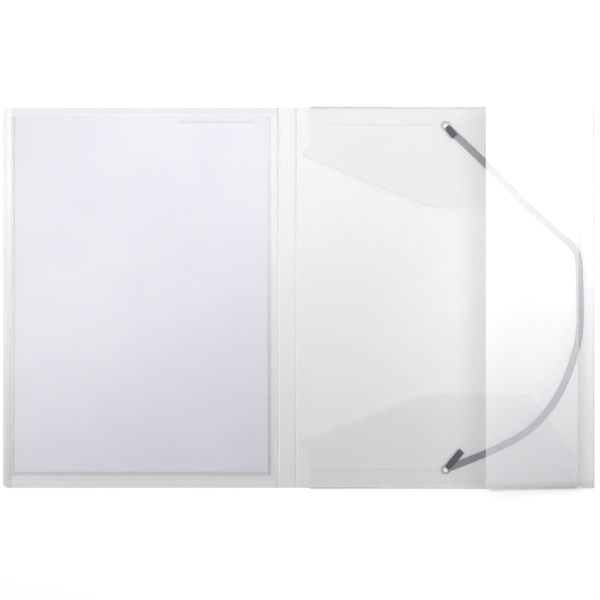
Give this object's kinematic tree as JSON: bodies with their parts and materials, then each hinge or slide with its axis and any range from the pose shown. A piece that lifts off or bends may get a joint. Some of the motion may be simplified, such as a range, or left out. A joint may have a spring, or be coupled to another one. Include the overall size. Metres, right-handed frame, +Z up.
{
  "type": "portfolio case",
  "caption": "Translucent A4 document folder lying open, with a spine, three inner flaps on living hinges, a title pocket and an elastic strap.",
  "frame": {"origin": "centre of the open folder's footprint, on the surface it lies on, without the strap", "axes": "+X from the front cover to the side flap, +Y to the top edge, +Z up from the inner face"},
  "size_m": [0.4906, 0.318, 0.0259],
  "materials": {
    "sheet": "frosted translucent polypropylene",
    "crease": "pressed, shinier than the sheet",
    "film": "clear, thin",
    "paper": "uncoated paper",
    "elastic": "woven elastic",
    "eyelet": "clear, moulded"
  },
  "bodies": {
    "back": {"back_panel": "sheet", "spine_crease": "crease", "side_gusset_crease": "crease", "top_flap_crease": "crease", "bottom_flap_crease": "crease", "upper_eyelet": "eyelet", "upper_eyelet_washer": "eyelet", "lower_eyelet": "eyelet", "lower_eyelet_washer": "eyelet", "elastic_strap": "elastic", "upper_strap_tail": "elastic", "lower_strap_tail": "elastic"},
    "spine": {"spine": "sheet", "cover_crease": "crease"},
    "cover": {"front_cover": "sheet", "title_pocket": "film", "pocket_outer_seam": "film", "pocket_bottom_seam": "film", "pocket_spine_seam": "film"},
    "title_sheet": {"title_sheet": "paper"},
    "side_gusset": {"side_gusset": "sheet", "side_flap_crease": "crease"},
    "side_flap": {"side_flap": "sheet"},
    "top_flap": {"top_gusset": "sheet", "top_flap_score": "crease", "top_flap": "sheet"},
    "bottom_flap": {"bottom_gusset": "sheet", "bottom_flap_score": "crease", "bottom_flap": "sheet"}
  },
  "joints": [
    {"name": "spine_hinge", "type": "hinge", "parent": "back", "child": "spine", "pos_m": [-0.00028, 0, 0.0013], "axis": [0, 1, 0], "range_deg": [0, 90]},
    {"name": "cover_hinge", "type": "hinge", "parent": "spine", "child": "cover", "pos_m": [-0.01528, 0, 0.0013], "axis": [0, 1, 0], "range_deg": [0, 85]},
    {"name": "title_sheet_slide", "type": "slide", "parent": "cover", "child": "title_sheet", "axis": [0, 1, 0], "range_m": [0, 0.297]},
    {"name": "side_flap_hinge", "type": "hinge", "parent": "side_gusset", "child": "side_flap", "pos_m": [0.24498, 0, 0.01155], "axis": [0, 1, 0], "range_deg": [0, 126.3]},
    {"name": "side_gusset_hinge", "type": "hinge", "parent": "back", "child": "side_gusset", "pos_m": [0.23472, 0, 0.0013], "axis": [0, 1, 0], "range_deg": [0, 45]},
    {"name": "top_flap_hinge", "type": "hinge", "parent": "back", "child": "top_flap", "pos_m": [0.12167, 0.1587, 0.0018], "axis": [-1, 0, 0], "range_deg": [0, 177]},
    {"name": "bottom_flap_hinge", "type": "hinge", "parent": "back", "child": "bottom_flap", "pos_m": [0.12167, -0.1587, 0.0018], "axis": [1, 0, 0], "range_deg": [0, 176]}
  ],
  "couplings": [
    {"joint": "side_gusset_hinge", "follows": "side_flap_hinge", "ratio": 0.35622},
    {"joint": "top_flap_hinge", "follows": "side_flap_hinge", "ratio": 1.4013},
    {"joint": "bottom_flap_hinge", "follows": "side_flap_hinge", "ratio": 1.3934}
  ]
}
